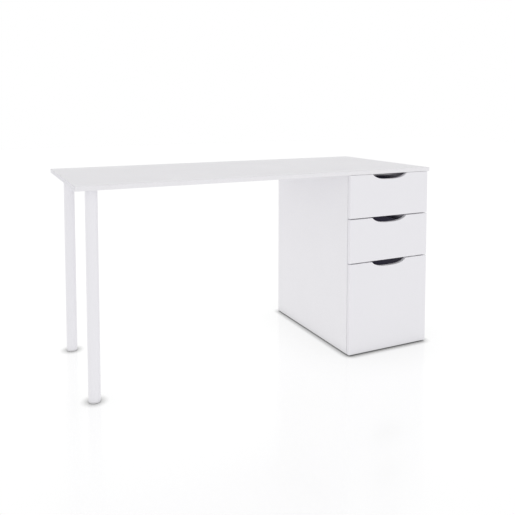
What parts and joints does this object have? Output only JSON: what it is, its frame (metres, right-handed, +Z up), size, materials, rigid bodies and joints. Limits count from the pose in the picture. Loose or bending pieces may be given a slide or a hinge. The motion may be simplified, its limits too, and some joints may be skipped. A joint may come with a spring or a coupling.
{
  "type": "sewing table",
  "caption": "Straight desk with a thin rectangular top on two round legs and a cabinet of sliding drawers with scooped finger pulls.",
  "frame": {"origin": "on the floor, under the middle of the table top", "axes": "+X along the top towards the drawer cabinet, +Y from the drawer fronts to the back, +Z up"},
  "size_m": [1.4, 0.6, 0.72],
  "materials": {
    "white_melamine_board": "chipboard faced with satin white melamine, edges banded in white",
    "white_front_foil": "fibreboard drawer fronts with a satin white finish",
    "white_powder_coat": "white powder coating on steel",
    "white_foot_plastic": "moulded white plastic",
    "grey_glide_plastic": "moulded grey plastic",
    "grey_box_board": "drawer box board wrapped in dark grey foil",
    "zinc_plated_steel": "bright zinc plating on steel"
  },
  "bodies": {
    "desk_frame": {"front_leg_tube": "white_powder_coat", "front_leg_plate": "white_powder_coat", "front_leg_foot": "white_foot_plastic", "front_leg_screw_1": "zinc_plated_steel", "front_leg_screw_2": "zinc_plated_steel", "front_leg_screw_3": "zinc_plated_steel", "front_leg_screw_4": "zinc_plated_steel", "rear_leg_tube": "white_powder_coat", "rear_leg_plate": "white_powder_coat", "rear_leg_foot": "white_foot_plastic", "rear_leg_screw_1": "zinc_plated_steel", "rear_leg_screw_2": "zinc_plated_steel", "rear_leg_screw_3": "zinc_plated_steel", "rear_leg_screw_4": "zinc_plated_steel", "table_top": "white_melamine_board", "cabinet_left_side": "white_melamine_board", "cabinet_right_side": "white_melamine_board", "cabinet_back": "white_melamine_board", "cabinet_bottom": "white_melamine_board", "cabinet_plinth": "white_melamine_board", "cabinet_front_rail": "white_melamine_board", "cabinet_rear_rail": "white_melamine_board", "glide_front_left": "grey_glide_plastic", "glide_front_right": "grey_glide_plastic", "glide_rear_left": "grey_glide_plastic", "glide_rear_right": "grey_glide_plastic", "top_left_cabinet_rail": "zinc_plated_steel", "top_right_cabinet_rail": "zinc_plated_steel", "middle_left_cabinet_rail": "zinc_plated_steel", "middle_right_cabinet_rail": "zinc_plated_steel", "bottom_left_cabinet_rail": "zinc_plated_steel", "bottom_right_cabinet_rail": "zinc_plated_steel"},
    "top_drawer": {"top_drawer_front": "white_front_foil", "top_drawer_left_side": "grey_box_board", "top_drawer_right_side": "grey_box_board", "top_drawer_back": "grey_box_board", "top_drawer_bottom": "grey_box_board", "top_left_drawer_rail": "zinc_plated_steel", "top_right_drawer_rail": "zinc_plated_steel"},
    "top_runner_middles": {"top_left_middle_rail": "zinc_plated_steel", "top_right_middle_rail": "zinc_plated_steel"},
    "middle_drawer": {"middle_drawer_front": "white_front_foil", "middle_drawer_left_side": "grey_box_board", "middle_drawer_right_side": "grey_box_board", "middle_drawer_back": "grey_box_board", "middle_drawer_bottom": "grey_box_board", "middle_left_drawer_rail": "zinc_plated_steel", "middle_right_drawer_rail": "zinc_plated_steel"},
    "middle_runner_middles": {"middle_left_middle_rail": "zinc_plated_steel", "middle_right_middle_rail": "zinc_plated_steel"},
    "bottom_drawer": {"bottom_drawer_front": "white_front_foil", "bottom_drawer_left_side": "grey_box_board", "bottom_drawer_right_side": "grey_box_board", "bottom_drawer_back": "grey_box_board", "bottom_drawer_bottom": "grey_box_board", "bottom_left_drawer_rail": "zinc_plated_steel", "bottom_right_drawer_rail": "zinc_plated_steel"},
    "bottom_runner_middles": {"bottom_left_middle_rail": "zinc_plated_steel", "bottom_right_middle_rail": "zinc_plated_steel"}
  },
  "joints": [
    {"name": "top_drawer_slide", "type": "slide", "parent": "desk_frame", "child": "top_drawer", "axis": [0, -1, 0], "range_m": [0, 0.45]},
    {"name": "top_runner_slide", "type": "slide", "parent": "desk_frame", "child": "top_runner_middles", "axis": [0, -1, 0], "range_m": [0, 0.225]},
    {"name": "middle_drawer_slide", "type": "slide", "parent": "desk_frame", "child": "middle_drawer", "axis": [0, -1, 0], "range_m": [0, 0.45]},
    {"name": "middle_runner_slide", "type": "slide", "parent": "desk_frame", "child": "middle_runner_middles", "axis": [0, -1, 0], "range_m": [0, 0.225]},
    {"name": "bottom_drawer_slide", "type": "slide", "parent": "desk_frame", "child": "bottom_drawer", "axis": [0, -1, 0], "range_m": [0, 0.45]},
    {"name": "bottom_runner_slide", "type": "slide", "parent": "desk_frame", "child": "bottom_runner_middles", "axis": [0, -1, 0], "range_m": [0, 0.225]}
  ],
  "couplings": [
    {"joint": "top_runner_slide", "follows": "top_drawer_slide", "ratio": 0.5},
    {"joint": "middle_runner_slide", "follows": "middle_drawer_slide", "ratio": 0.5},
    {"joint": "bottom_runner_slide", "follows": "bottom_drawer_slide", "ratio": 0.5}
  ]
}
